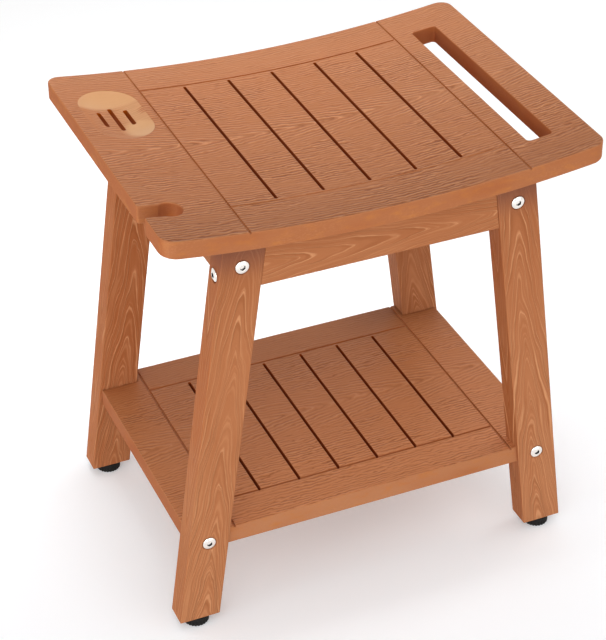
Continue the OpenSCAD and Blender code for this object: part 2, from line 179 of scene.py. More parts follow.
class BenchFinish(bpy.types.PropertyGroup):
    """Colours and grain of the bench."""
    teak: colour("Teak plastic", "Main colour of the plastic lumber", (0.385, 0.129, 0.041))
    teak_light: colour("Light grain", "Colour of the raised grain", (0.60, 0.265, 0.120))
    teak_dark: colour("Dark grain", "Colour in the valleys of the grain", (0.21, 0.050, 0.008))
    teak_worn: colour("Worn edges", "Colour of rubbed edges", (0.55, 0.24, 0.105))
    bar_teak: colour("Bar plastic", "Main colour of legs, rails and slab edges", (0.388, 0.131, 0.047))
    gloom: colour("Under the seat", "Colour of the shade at the legs' tops", (0.10, 0.042, 0.043))
    seat_end: colour("Seat ends", "Main colour of the seat's ends", (0.39, 0.113, 0.034))
    shelf_rim: colour("Shelf edges", "Main colour of the shelf's long edges", (0.43, 0.162, 0.065))
    golden: colour("Golden edges", "Colour of the mottles on the slabs' edges", (0.47, 0.165, 0.045))
    # Painted shade: the dark colour of the shade deep in the slots, handle, keyhole and grooves; it also
    # gives the dark mottles on the slabs' edges.
    slot_shade_and_mottle: colour("Slot walls", "Colour deep inside the slots", (0.30, 0.045, 0.0))
    # Painted shade: the saturated colour of the shade inside the dish's slots.
    drain_shade: colour("Drain walls", "Colour inside the dish's slots", (0.44, 0.085, 0.0))
    # Painted sheen: a paler, greyer colour laid on the seat's back and the shelf's front, where the
    # lamps light them more.
    painted_sheen: colour("Pale haze", "Greys the seat's back and the shelf's front", (0.42, 0.22, 0.12))
    # Painted highlight: the paler colour of the dish's lit back and right walls.
    dish_highlight: colour("Milled dish", "Colour of the smooth soap dish", (0.545, 0.285, 0.126))
    steel: colour("Steel", "Colour of the bolts", (0.93, 0.88, 0.82))
    zinc: colour("Zinc", "Colour of nuts, inserts and studs", (0.55, 0.54, 0.50))
    rubber: colour("Rubber", "Colour of the foot pads", (0.010, 0.0095, 0.009))
    slab_pitch: length("Slab grain pitch", "Distance between lines on the slabs", 4.1 * MM)
    slab_depth: length("Slab grain depth", "Depth of the embossing on the slabs", 0.42 * MM)
    bar_pitch: length("Bar grain pitch", "Distance between lines on legs and rails", 4.6 * MM)
    bar_depth: length("Bar grain depth", "Depth of the embossing on legs and rails", 0.4 * MM)


class Studio(bpy.types.PropertyGroup):
    """Camera, lamps and floor."""
    place: bpy.props.FloatVectorProperty(
        name="Camera place", description="Where the camera stands",
        default=(-0.71264, -1.60824, 1.42262), subtype="TRANSLATION", unit="LENGTH")
    look: bpy.props.FloatVectorProperty(
        name="Camera direction", description="Where the camera looks",
        default=(0.32841, 0.75956, -0.56144), subtype="DIRECTION")
    roll: bpy.props.FloatProperty(
        name="Camera roll", description="Turn about the line of sight",
        default=-0.00362, subtype="ANGLE", unit="ROTATION")
    focal: bpy.props.FloatProperty(
        name="Focal length", description="Lens for a 36 mm sensor", default=114.6,
        subtype="DISTANCE_CAMERA")
    dome: number("Dome", "Strength of the even light from all round", 0.68, 0.0, 5.0)
    rear_lamp: number("Rear lamp", "Watts of the narrow lamp over the seat's back", 1.45, 0.0, 500.0)
    front_lamp: number("Front lamp", "Watts of the high lamp at the front left", 13.5, 0.0, 500.0)
    low_lamp: number("Low lamp", "Watts of the low lamp in front", 8.9, 0.0, 500.0)
    right_lamp: number("Right lamp", "Watts of the low lamp at the front right", 5.7, 0.0, 500.0)
    left_lamp: number("Left lamp", "Watts of the low lamp at the left", 9.9, 0.0, 500.0)
    side_lamp: number("Side lamp", "Watts of the lamp at the right", 8.7, 0.0, 500.0)
    floor: colour("Floor", "Colour of the studio floor", (0.835, 0.85, 0.872))
    floor_lift: number("Floor lift", "White that the camera sees added to the floor", 0.2, 0.0, 1.0)


class Link:
    """A value inside a material that is worked with like a number."""

    def __init__(self, sheet, socket):
        self.sheet = sheet
        self.socket = socket

    def maths(self, operation, *terms):
        """One Math node on two values, or on one."""
        return self.sheet.add("ShaderNodeMath", {"operation": operation}, dict(enumerate(terms)))

    def __add__(self, other):
        return self.maths("ADD", self, other)

    def __radd__(self, other):
        return self.maths("ADD", other, self)

    def __sub__(self, other):
        return self.maths("SUBTRACT", self, other)

    def __rsub__(self, other):
        return self.maths("SUBTRACT", other, self)

    def __mul__(self, other):
        return self.maths("MULTIPLY", self, other)

    def __rmul__(self, other):
        return self.maths("MULTIPLY", other, self)

    def __truediv__(self, other):
        return self.maths("DIVIDE", self, other)

    def __rtruediv__(self, other):
        return self.maths("DIVIDE", other, self)

    def __pow__(self, other):
        return self.maths("POWER", self, other)

    def __abs__(self):
        return self.maths("ABSOLUTE", self)

    def root(self):
        return self.maths("SQRT", self)

    def part(self):
        """What is left past the whole number below."""
        return self.maths("FRACT", self)

    def whole(self):
        """The whole number below."""
        return self.maths("FLOOR", self)

    def least(self, other):
        return self.maths("MINIMUM", self, other)

    def most(self, other):
        return self.maths("MAXIMUM", self, other)

    def held(self):
        """Held between 0 and 1."""
        return self.most(0.0).least(1.0)

    def smooth(self, low, high):
        """0 below low, 1 above high, and a soft step between."""
        return self.sheet.add(
            "ShaderNodeMapRange", {"interpolation_type": "SMOOTHSTEP"},
            {0: self, 1: low, 2: high, 3: 0.0, 4: 1.0})


class Sheet:
    """The nodes of a material or a world."""

    def __init__(self, owner):
        owner.use_nodes = True
        self.owner = owner
        self.tree = owner.node_tree
        self.tree.nodes.clear()

    def add(self, kind, settings=None, inputs=None, output=0):
        """Adds a node: its settings first, then the values or links of its sockets."""
        node = self.tree.nodes.new(kind)
        for key, value in (settings or {}).items():
            setattr(node, key, value)
        for key, value in (inputs or {}).items():
            if isinstance(value, Link):
                self.tree.links.new(value.socket, node.inputs[key])
            else:
                node.inputs[key].default_value = value
        return Link(self, node.outputs[output]) if len(node.outputs) else None

    def split(self, vector):
        """The three parts of a vector."""
        first = self.add("ShaderNodeSeparateXYZ", {}, {0: vector})
        node = first.socket.node
        return first, Link(self, node.outputs[1]), Link(self, node.outputs[2])

    def join(self, x, y, z):
        """A vector from its three parts."""
        return self.add("ShaderNodeCombineXYZ", {}, {0: x, 1: y, 2: z})

    def place(self):
        """Object coordinates in millimetres."""
        spot = self.add("ShaderNodeTexCoord", output=3)
        wide = self.add("ShaderNodeVectorMath", {"operation": "SCALE"}, {0: spot, "Scale": 1000.0})
        return self.split(wide)

    def facing(self):
        """The parts of the surface's direction, each from 0 to 1."""
        return tuple(abs(part) for part in self.split(self.add("ShaderNodeTexCoord", output=1)))

    def worn_edge(self):
        """1 on rounded edges and 0 on flat faces."""
        x, y, z = self.facing()
        return (1.0 - x.most(y).most(z)).smooth(0.05, 0.25)

    def noise(self, x, y, z, detail=2.0, rough=0.5):
        """Soft noise about 0, from about -0.5 to 0.5."""
        return self.add(
            "ShaderNodeTexNoise", {"noise_dimensions": "3D"},
            {"Vector": self.join(x, y, z), "Scale": 1.0, "Detail": detail,
             "Roughness": rough}) - 0.5

    def paint(self, base, *coats):
        """A base colour and the colours over it, each laid on by its own mask."""
        for mask, tint in coats:
            pair = [c if isinstance(c, Link) else rgba(c) for c in (base, tint)]
            base = self.add(
                "ShaderNodeMix", {"data_type": "RGBA"}, {0: mask, 6: pair[0], 7: pair[1]}, 2)
        return base

    def seen(self):
        """1 for what the camera, mirrors and glass see, and 0 for light on other things."""
        ray = self.add("ShaderNodeLightPath")
        outputs = ray.socket.node.outputs
        glossy = Link(self, outputs["Is Glossy Ray"])
        through = Link(self, outputs["Is Transmission Ray"])
        return ray.most(glossy).most(through)

    def finish(self, height, distance, **sockets):
        """The surface shader with a bump of this height and its own sockets."""
        inputs = {key.replace("_", " "): value for key, value in sockets.items()}
        inputs["Normal"] = self.add(
            "ShaderNodeBump", {}, {"Strength": 1.0, "Distance": distance, "Height": height})
        surface = self.add("ShaderNodeBsdfPrincipled", {}, inputs)
        self.add("ShaderNodeOutputMaterial", {}, {"Surface": surface})
        return self.owner


def rgba(value):
    """A colour as four numbers."""
    return (value[0], value[1], value[2], 1.0)


def tinted(value, tone):
    """A colour times a tone, part by part."""
    return tuple(c * t for c, t in zip(value, tone))


def wave(value):
    """A triangle wave: 1 on whole numbers and 0 halfway between."""
    return abs(value.part() - 0.5) * 2.0


def dish_masks(dish, x, y):
    """Masks of the soap dish: its inside, its painted highlight on the back and right walls and a front
    lobe, and the part with its drains.
    """
    reach = dish.dish_width / MM / 2
    run = dish.dish_length / MM / 2 - reach
    away_x = (x + dish.dish_x / MM) / reach
    offset = y - dish.dish_y / MM
    away_y = ((offset - run).most(0.0) + (offset + run).least(0.0)) / reach
    span = (away_x ** 2.0 + away_y ** 2.0).root()
    inside = 1.0 - span.smooth(0.97, 1.0)
    offset = offset / reach
    gap = ((away_x - 1.0) ** 2.0 + (offset - 0.15) ** 2.0).root().smooth(0.06, 0.3)
    back = offset.smooth(0.58, 0.92)
    band = away_x.smooth(-0.2, 0.7) * offset.smooth(-1.3, -0.5) * 0.65
    lobe = (((away_x - 0.56) / 0.7) ** 2.0 + ((offset + 0.95) / 0.9) ** 2.0).root()
    front = 1.0 - lobe.smooth(0.5, 1.05)
    tan = inside * (0.08 + (back.most(band) * gap).most(front) * 0.92)
    return inside, tan, 1.0 - span.smooth(0.75, 0.8)


def slab_material(name, finish, seed, strong, light, slot_x, slot_y, rim, end, dish=None):
    """Embossed plastic lumber of a slab: broken lines along X, with flames along the middle."""
    sheet = Sheet(bpy.data.materials.new(name))
    x, y, z = sheet.place()
    facing = sheet.facing()
    wide = facing[2].smooth(0.8, 0.95)
    edge = 1.0 - wide
    wall = 1.0 - facing[2].smooth(0.3, 0.8)

    # Two sets of lines take turns, and give way to flames near the middle.
    pitch = finish.slab_pitch / MM
    drift = sheet.noise(x * 0.006, y * 0.014, seed, 2.0) * 16.0
    shiver = sheet.noise(x * 0.04, y * 0.12, seed + 5.0, 2.0) * 4.5
    tremor = sheet.noise(x * 0.05, y * 0.15, seed + 15.0, 2.0) * 5.0
    ripple = sheet.noise(x * 0.1, y * 0.14, seed + 31.0, 1.0) * 4.0
    swap = sheet.noise(x * 0.03, y * 0.075, seed + 21.0, 2.0).smooth(-0.04, 0.04)
    straight = (y + drift + shiver + ripple) / pitch
    second = (y + drift * 0.8 + tremor - ripple) / (pitch * 0.92) + 0.4
    lean = abs(y + drift * 0.6 - 2.0)
    flame = ((lean ** 2.0 + 6.0).root() + x * 0.16 + shiver + ripple) / (pitch * 1.1)
    zone = 1.0 - lean.smooth(20.0, 44.0)
    rows = wave(straight) * swap + wave(second) * (1.0 - swap)
    line = rows * (1.0 - zone) + wave(flame) * zone

    # The embossing is deeper in some lines and patches than in others.
    share = sheet.noise(straight.whole() * 3.7, x * 0.03, seed + 2.0, 1.0).smooth(-0.22, 0.12)
    patch = sheet.noise(x * 0.018, y * 0.03, seed + 9.0, 2.0).smooth(-0.2, 0.15)
    depth = (0.3 + share * 0.7) * (0.5 + patch * 0.5) * (1.0 - y.smooth(70.0, 130.0) * 0.5)
    valley = line.smooth(0.55, 0.97) * depth * (1.0 - zone * 0.4)
    crest = (1.0 - line).smooth(0.6, 0.98) * depth
    hair = sheet.noise(x * 0.07, y * 0.5, seed + 3.0, 3.0, 0.65)
    fleck = sheet.noise(x * 0.35, y * 0.9, z * 0.9, 3.0, 0.65)
    cloud = sheet.noise(x * 0.012, y * 0.018, z * 0.03 + seed, 2.0)
    mottle = sheet.noise(x * 0.06, y * 0.06, z * 0.16, 3.0, 0.6)
    dark = (valley * (0.66 * strong) + hair * 0.3 + fleck * 0.12) * wide

    # Painted light and shade on each slab: the seat's top darkens along its front edge and has painted
    # sheen at its back and right; the shelf's top is lighter with painted sheen at the front, darker
    # towards the back and in the shade of its back right leg, and paler along its left edge.
    if dish:
        back_right = (x.smooth(20.0, 140.0) * y.smooth(-110.0, 0.0)).most(y.smooth(90.0, 160.0))
        pale = back_right * 0.12 * wide
        level = 0.87 + y.smooth(-172.0, -90.0) * 0.13
        edge_level = 1.0
    else:
        near = 1.0 - y.smooth(-140.0, 60.0)
        left = 1.0 - x.smooth(40.0, 110.0)
        right = x.smooth(60.0, 150.0)
        pale = (0.05 + near * (0.11 + right * 0.04)) * wide + left * 0.15 * edge
        level = (1.01 - y * 0.0013 + near * (0.05 + right * 0.04)
                 - right * y.smooth(50.0, 140.0) * 0.2)
        edge_level = 1.0 + left * 0.04

    within = (1.0 - abs(x).smooth(196.0, 224.0)) * (1.0 - abs(y).smooth(140.0, 142.0))
    base = sheet.paint(
        rim,
        (facing[0].smooth(0.5, 0.9) * abs(x).smooth(198.0, 204.0), end),
        # The top's teak, brightened by the light factor, which paints light on the shelf.
        (wide, tinted(finish.teak, (light, light, light))),
        (pale, finish.painted_sheen),
        ((0.5 + cloud * 0.9).smooth(0.0, 1.0) * 0.1, finish.teak_light),
        ((crest * (0.5 * strong)).least(1.0) * wide, finish.teak_light),
        ((mottle * 3.6).held() * edge, finish.golden),
        ((fleck * 1.4).most(0.0) * edge, finish.teak_light),
        ((cloud * 1.2 + fleck * 0.8).most(0.0) * edge, finish.slot_shade_and_mottle),
        (dark.held(), finish.teak_dark),
        (sheet.worn_edge() * (0.22 + fleck * 0.3), finish.teak_worn),
        # Painted shade on the inner walls of the slots, handle, keyhole and grooves.
        (wall * within * 0.4, finish.slot_shade_and_mottle))
    relief = (1.0 - line) * depth * wide + hair * 0.4 * wide + fleck * 0.1
    rough = 0.95 - wide * (0.45 - fleck * 0.16 - valley * 0.08)
    if dish:
        inside, tan, drained = dish_masks(dish, x, y)
        # Painted highlight on the dish's walls, and painted shade in its drains.
        base = sheet.paint(base, (tan * (0.95 + cloud * 0.3), finish.dish_highlight),
                           (wall * drained, finish.drain_shade))
        relief = relief * (1.0 - tan * 0.55 - inside * 0.4)
        rough = rough - tan * 0.14
    # Painted shade deep in the drain slots.
    slots = wall * (1.0 - abs(x).smooth(slot_x, slot_x + 4.0))
    slots = slots * (1.0 - abs(y).smooth(slot_y, slot_y + 2.0))
    base = sheet.paint(base, (slots, finish.slot_shade_and_mottle))
    # Painted light and shade: the top and the edge are scaled by their painted levels.
    base = sheet.add("ShaderNodeVectorMath", {"operation": "SCALE"},
                     {0: base, "Scale": level * wide + edge_level * edge})
    return sheet.finish(relief, finish.slab_depth * strong, Base_Color=base, Roughness=rough,
                        IOR=1.42, Specular_IOR_Level=0.35)


def bar_material(name, finish, sizes, node, seed, front=(1.0, 1.0, 1.0), side=(1.0, 1.0, 1.0)):
    """Embossed plastic lumber of a bar, with narrow arches of thin light lines along it."""
    sheet = Sheet(bpy.data.materials.new(name))
    x, y, z = sheet.place()
    low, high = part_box(node)
    middle = (low + high) / 2 / MM
    half = (high - low) / 2 / MM

    # Painted shade: the legs darken towards their tops, where the seat shades them, and are painted
    # paler lower down; the lines fade out near the top, and the lower ends have more and finer lines.
    paler = dusk = bare = gloom = busy = 0.0
    if node.startswith("leg"):
        centre = sizes.foot_x / MM - (z - sizes.lift / MM) * math.tan(sizes.lean)
        across = abs(x) - centre + 4.0
        depth = half.y - abs(y - middle.y)
        along = z
        paler = 1.0 - z.smooth(-150.0, 440.0)
        dusk = z.smooth(300.0, 450.0) * 0.25
        bare = z.smooth(400.0, 420.0) * 0.85
        gloom = z.smooth(398.0, 440.0) * 0.48
        busy = 1.0 - z.smooth(90.0, 300.0)
    elif node.startswith("apron"):
        across = z - middle.z + 6.0
        depth = half.y - abs(y - middle.y)
        along = x
    else:
        across = z - middle.z
        depth = half.x - abs(x - middle.x)
        along = y

    pitch = finish.bar_pitch / MM
    drift = sheet.noise(along * 0.009, across * 0.01, seed, 2.0) * 16.0
    shiver = sheet.noise(along * 0.022, across * 0.09, seed + 5.3, 2.0) * 6.0
    reach = ((across + drift) ** 2.0 + 14.0).root() + depth + along * 0.13 + shiver
    crowd = sheet.noise(reach * 0.11, along * 0.004, seed + 8.0, 1.0) * 12.0
    phase = (reach + crowd) / pitch
    share = sheet.noise(phase.whole() * 5.1, along * 0.012, seed, 1.0).smooth(-0.12, 0.18)
    crest = wave(phase).smooth(0.72, 0.95) * (0.22 + share * 0.78) * (1.0 - bare)
    shade = wave(phase + 0.2).smooth(0.45, 0.95) * (0.2 + share * 0.8) * (1.0 - bare)
    thin = phase * 2.4 + share * 0.6
    thread = wave(thin).smooth(0.5, 1.0) * (1.0 - share * (1.0 - busy))
    furrow = wave(thin + 0.45).smooth(0.5, 1.0) * busy
    fine = sheet.noise(along * 0.035, across * 0.4, depth * 0.4 + seed, 3.0, 0.65)
    fleck = sheet.noise(x * 0.6, y * 0.6, z * 0.6, 3.0, 0.65)
    cloud = sheet.noise(along * 0.01, across * 0.05, seed + 4.0, 2.0)
    flank = sheet.facing()[0].smooth(0.5, 0.9)
    # Pale random tone, plus painted light that makes the legs paler lower down.
    pale = (0.1 + cloud * 0.5 + fine * 0.25).most(0.0) + paler * 0.3 * (1.0 - flank * 0.5)
    dark = shade * 0.26 + furrow * 0.16 + fine * 0.48 + dusk
    # Painted shade: the front and side tints darken each leg's shaded faces; the side tint covers the
    # faces that look along X.
    base = sheet.paint(
        tinted(finish.bar_teak, front),
        (flank, tinted(finish.bar_teak, side)),
        (pale, finish.teak_light),
        (dark.held(), finish.teak_dark),
        ((crest * 0.95 + thread * (0.26 + busy * 0.16)).least(1.0), finish.teak_light),
        (gloom, finish.gloom),
        (sheet.worn_edge() * (0.2 + fleck * 0.3), finish.teak_worn))
    relief = (crest * 0.9 + thread * 0.3 - shade * 0.3 - furrow * 0.2 + fine * 0.6
              + fleck * 0.12)
    return sheet.finish(relief, finish.bar_depth, Base_Color=base,
                        Roughness=0.72 + fleck * 0.15 - crest * 0.06, IOR=1.42,
                        Specular_IOR_Level=0.18)


def metal_material(name, tint, rough, grain):
    """Bright or plated metal with fine scratches and a cloudy sheen."""
    sheet = Sheet(bpy.data.materials.new(name))
    x, y, z = sheet.place()
    scratch = sheet.noise(x * 2.2, y * 2.2, z * 9.0, 3.0, 0.7)
    cloud = sheet.noise(x * 0.35, y * 0.35, z * 0.35, 2.0)
    tarnish = (0.5 + cloud + scratch * 0.6).smooth(0.0, 1.0) * 0.35
    shade = sheet.paint(tint, (tarnish, tinted(tint, (0.72, 0.72, 0.73))))
    return sheet.finish(scratch, grain * MM, Base_Color=shade, Metallic=1.0,
                        Roughness=rough + cloud * 0.12 + scratch * 0.08)


def rubber_material(name, tint):
    """Matte black rubber, dustier near the floor."""
    sheet = Sheet(bpy.data.materials.new(name))
    x, y, z = sheet.place()
    pebble = sheet.noise(x * 1.6, y * 1.6, z * 1.6, 4.0, 0.6)
    dust = sheet.noise(x * 0.2, y * 0.2, z * 0.5, 3.0, 0.6)
    low = 1.0 - z.smooth(0.0, 3.5)
    dusty = ((0.5 + dust) * (0.22 + low * 0.35)).held()
    shade = sheet.paint(tint, (dusty, tinted(tint, (4.2, 4.1, 3.9))))
    return sheet.finish(pebble, 0.05 * MM, Base_Color=shade, Roughness=0.7 + pebble * 0.2,
                        IOR=1.45, Specular_IOR_Level=0.2)


def add_object(name, data):
    """Puts a mesh, lamp or camera in the scene."""
    thing = bpy.data.objects.new(name, data)
    bpy.context.scene.collection.objects.link(thing)
    return thing


def coat(node, material):
    """Gives a CAD node that stays its finished material."""
    mesh = NODES[node].data
    for index in range(max(1, len(mesh.materials))):
        if index < len(mesh.materials):
            mesh.materials[index] = material
        else:
            mesh.materials.append(material)


def stand(name, bm, material, body, nodes, sharp=32.0, second=None):
    """Makes a finished piece that stands for CAD nodes and rides on a body."""
    mesh = bpy.data.meshes.new(name)
    mesh.materials.append(material)
    if second:
        mesh.materials.append(second)
    bm.to_mesh(mesh)
    bm.free()
    if not second:
        mesh.polygons.foreach_set("material_index", [0] * len(mesh.polygons))
    mesh.polygons.foreach_set("use_smooth", [True] * len(mesh.polygons))
    mesh.set_sharp_from_angle(angle=math.radians(sharp))
    piece = add_object(name, mesh)
    even = piece.modifiers.new("Even faces", "WEIGHTED_NORMAL")
    even.keep_sharp = True
    even.weight = 80
    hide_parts(*nodes)
    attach(piece, body)


def carve(bm, cutter):
    """Cuts one closed shape out of another and returns what is left."""
    bodies = []
    for part, label in ((bm, "stock"), (cutter, "cutter")):
        mesh = bpy.data.meshes.new(label)
        part.to_mesh(mesh)
        part.free()
        bodies.append(add_object(label, mesh))
    cut = bodies[0].modifiers.new("Cut", "BOOLEAN")
    cut.operation = "DIFFERENCE"
    cut.solver = "EXACT"
    cut.object = bodies[1]
    graph = bpy.context.evaluated_depsgraph_get()
    left = bpy.data.meshes.new_from_object(bodies[0].evaluated_get(graph))
    made = bmesh.new()
    made.from_mesh(left)
    for body in bodies:
        mesh = body.data
        bpy.data.objects.remove(body)
        bpy.data.meshes.remove(mesh)
    bpy.data.meshes.remove(left)
    if not made.faces:
        raise RuntimeError("a cut left nothing")
    return made


def shift(bm, x, y, z=0.0):
    """Moves a whole shape."""
    bmesh.ops.translate(bm, vec=(x, y, z), verts=bm.verts)
    return bm


def bevel(bm, edges, offset, segments):
    """Rounds edges."""
    bmesh.ops.bevel(bm, geom=edges, offset=offset, segments=segments, affect="EDGES",
                    profile=0.5, material=-1, offset_type="OFFSET")


def box_shape(low, high):
    """A closed box between two corners."""
    bm = bmesh.new()
    bmesh.ops.create_cube(bm, size=1.0)
    bmesh.ops.scale(bm, vec=Vector(high) - Vector(low), verts=bm.verts)
    return shift(bm, *(Vector(low) + Vector(high)) / 2)


def join_shapes(shapes):
    """One bmesh out of several that don't touch."""
    whole = bmesh.new()
    for shape in shapes:
        mesh = bpy.data.meshes.new("part")
        shape.to_mesh(mesh)
        shape.free()
        whole.from_mesh(mesh)
        bpy.data.meshes.remove(mesh)
    return whole


def turned(profile, segments):
    """Spins a profile of (radius, height) pairs about Z, with no corner on the X or Y axis."""
    bm = bmesh.new()
    turn = math.pi / segments
    corners = [bm.verts.new((r * math.cos(turn), r * math.sin(turn), z)) for r, z in profile]
    edges = [bm.edges.new(pair) for pair in zip(corners, corners[1:])]
    bmesh.ops.spin(
        bm, geom=corners + edges, cent=(0, 0, 0), axis=(0, 0, 1), dvec=(0, 0, 0),
        angle=2 * math.pi, steps=segments, use_merge=True, use_normal_flip=False,
        use_duplicate=False)
    bmesh.ops.remove_doubles(bm, verts=bm.verts, dist=SAME)
    return bm


def close_up(bm):
    """Caps open rings and points every face outwards."""
    rims = [edge for edge in bm.edges if edge.is_boundary]
    if rims:
        bmesh.ops.holes_fill(bm, edges=rims, sides=0)
    bmesh.ops.recalc_face_normals(bm, faces=bm.faces)
    return bm


def stretch(bm, run_x, run_y):
    """Pulls a turned shape apart into a slot or a plate with round corners."""
    for vert in bm.verts:
        vert.co.x += math.copysign(run_x, vert.co.x)
        vert.co.y += math.copysign(run_y, vert.co.y)
    return bm


def lipped(radius, lip, thick):
    """Profile of a cutter for a plate from z = 0 down to -thick, with rounded lips."""
    steps = 3
    arc = [math.pi / 2 * i / steps for i in range(steps + 1)]
    upper = [(radius + lip * (1 - math.cos(a)), -lip + lip * math.sin(a)) for a in reversed(arc)]
    lower = [(r, -thick - z) for r, z in reversed(upper)]
    return [(radius + lip, CLEAR)] + upper + lower + [(radius + lip, -thick - CLEAR)]


def slot_shape(x, y, width, long, lip, thick):
    """A cutter for an upright slot along Y."""
    bm = stretch(turned(lipped(width / 2, lip, thick), 24), 0.0, (long - width) / 2)
    return shift(close_up(bm), x, y)


def slot_row(sizes, count, thick):
    """Cutters for the row of drain slots, which reach further forward than back."""
    return [slot_shape((i - (count - 1) / 2) * sizes.slot_pitch, -sizes.slot_reach / 2,
                       sizes.slot_width, sizes.slot_length + sizes.slot_reach, sizes.lip, thick)
            for i in range(count)]


def groove_shape(width, depth, reach, along_x):
    """A cutter for a shallow groove across a plate whose top is at z = 0."""
    half = width / 2
    lip = GROOVE_LIP
    right = [(half * 0.45, -depth), (half * 0.8, -depth * 0.85), (half, -lip),
             (half + lip * 0.3, -lip * 0.35), (half + lip, 0), (half + lip, 2 * MM)]
    outline = [(-a, z) for a, z in reversed(right)] + right
    bm = bmesh.new()
    if along_x:
        ring = [bm.verts.new((-reach, a, z)) for a, z in outline]
        step = (2 * reach, 0, 0)
    else:
        ring = [bm.verts.new((a, -reach, z)) for a, z in outline]
        step = (0, 2 * reach, 0)
    face = bm.faces.new(ring)
    grown = bmesh.ops.extrude_face_region(bm, geom=[face])
    moved = [item for item in grown["geom"] if isinstance(item, bmesh.types.BMVert)]
    bmesh.ops.translate(bm, vec=step, verts=moved)
    return close_up(bm)


def cut_boards(bm, sizes, wide, front_depth):
    """Cuts two grooves across a slab and two along it, so that it looks like boards."""
    cross = [shift(groove_shape(sizes.groove_width, sizes.groove_depth, wide + CLEAR, False),
                   side * sizes.cross_groove, 0)
             for side in (-1, 1)]
    bm = carve(bm, join_shapes(cross))
    ways = [shift(groove_shape(sizes.groove_width, depth, sizes.cross_groove, True),
                  0, side * sizes.long_groove)
            for side, depth in ((-1, front_depth), (1, sizes.groove_depth))]
    return carve(bm, join_shapes(ways))


def plate(long, wide, thick, corner):
    """A flat plate with round corners, its top at z = 0."""
    bm = box_shape((-long / 2, -wide / 2, -thick), (long / 2, wide / 2, 0))
    if corner > 0:
        upright = [e for e in bm.edges if abs(e.verts[0].co.z - e.verts[1].co.z) > thick / 2]
        bevel(bm, upright, corner, 10)
    return bm


def round_rims(bm, thick, offset):
    """Rounds the top and bottom outline of a plate."""
    rims = []
    for edge in bm.edges:
        a, b = (vert.co.z for vert in edge.verts)
        off_level = max(abs(a - b), min(abs(a), abs(a + thick)))
        if off_level < 1e-6 and edge.calc_face_angle(0.0) > math.radians(60):
            rims.append(edge)
    bevel(bm, rims, offset, 4)


def keyhole(bm, sizes, low_x):
    """Cuts the keyhole through a sharp plate and rounds its mouth."""
    hole = bmesh.new()
    bmesh.ops.create_cone(hole, cap_ends=True, segments=56, radius1=sizes.key_radius,
                          radius2=sizes.key_radius, depth=80 * MM)
    bm = carve(bm, shift(hole, -sizes.key_x, -sizes.key_y))
    half = sizes.key_width / 2
    bm = carve(bm, box_shape((low_x - 9 * MM, -sizes.key_y - half, -60 * MM),
                             (-sizes.key_x, -sizes.key_y + half, 40 * MM)))
    mouth = []
    for edge in bm.edges:
        a, b = (vert.co for vert in edge.verts)
        upright = abs(a.z - b.z) > sizes.thickness / 2
        at_end = abs(a.x - low_x) < 1e-5 and abs(abs(a.y + sizes.key_y) - half) < 1e-5
        if upright and at_end:
            mouth.append(edge)
    bevel(bm, mouth, sizes.mouth, 5)
    return bm


def dish_shape(sizes):
    """A cutter for the soap dish: a shallow bowl drawn out along Y, with a soft rim."""
    radius = sizes.dish_width / 2
    ball = (radius ** 2 + sizes.dish_depth ** 2) / (2 * sizes.dish_depth)
    profile = [(radius + 1.2 * MM, CLEAR), (radius + 1.2 * MM, 0.0),
               (radius + 0.5 * MM, -0.05 * MM), (radius, -0.18 * MM)]
    steps = 14
    for i in range(1, steps + 1):
        r = radius * (1 - i / steps) + 0.8 * MM * i / steps
        profile.append((r, -sizes.dish_depth + ball - math.sqrt(ball ** 2 - r ** 2)))
    bm = stretch(turned(profile, 64), 0.0, sizes.dish_length / 2 - radius)
    return shift(close_up(bm), -sizes.dish_x, sizes.dish_y)


def slice_along(bm, reach):
    """Cuts a plate into narrow strips across X, so that it can bend."""
    count = int(2 * reach / STRIP)
    for i in range(1, count):
        x = -reach + 2 * reach * i / count
        bmesh.ops.bisect_plane(
            bm, geom=bm.verts[:] + bm.edges[:] + bm.faces[:], dist=SAME,
            plane_co=(x, 0, 0), plane_no=(1, 0, 0))


def bend_on_arc(bm, half, rise, top):
    """Bends a flat plate upwards at both ends; depths below its top are kept."""
    radius = (half ** 2 + rise ** 2) / (2 * rise)
    for vert in bm.verts:
        depth = -vert.co.z
        vert.co.z = top + radius - math.sqrt((radius + depth) ** 2 - vert.co.x ** 2)


class BENCH_OT_seat(bpy.types.Operator):
    """Build the dished seat slab with its slots, grooves, keyhole, handle and soap dish"""
    bl_idname = "bench.seat"
    bl_label = "Seat slab"

    def execute(self, context):
        sizes = context.scene.bench_seat
        finish = context.scene.bench_finish
        half, wide = SEAT_HIGH.x, SEAT_HIGH.y
        thick = sizes.thickness
        bm = plate(2 * half, 2 * wide, thick, sizes.corner)
        bm = keyhole(bm, sizes, -half)
        round_rims(bm, thick, sizes.edge)
        handle = stretch(
            turned(lipped(sizes.handle_corner, 3 * sizes.lip, thick), 32),
            sizes.handle_width / 2 - sizes.handle_corner,
            sizes.handle_length / 2 - sizes.handle_corner)
        shift(close_up(handle), sizes.handle_x, 0)
        bm = carve(bm, join_shapes([handle, dish_shape(sizes)] + slot_row(sizes, 5, thick)))
        drains = [slot_shape(-sizes.dish_x + i * sizes.drain_pitch, sizes.dish_y,
                             sizes.drain_width, long, 0.3 * MM, thick)
                  for i, long in ((-1, sizes.drain_side), (0, sizes.drain_length),
                                  (1, sizes.drain_side))]
        bm = carve(bm, join_shapes(drains))
        bm = cut_boards(bm, sizes, wide, sizes.front_groove)
        slice_along(bm, half)
        bend_on_arc(bm, half, sizes.rise, SEAT_HIGH.z - sizes.rise)
        material = slab_material("seat_embossed_teak", finish, 1.7, 1.8, 1.0,
                                 2.5 * sizes.slot_pitch / MM, sizes.slot_length / MM / 2,
                                 finish.bar_teak, finish.seat_end, sizes)
        stand("seat_slab", bm, material, "bench", ["seat_panel"])
        return {"FINISHED"}


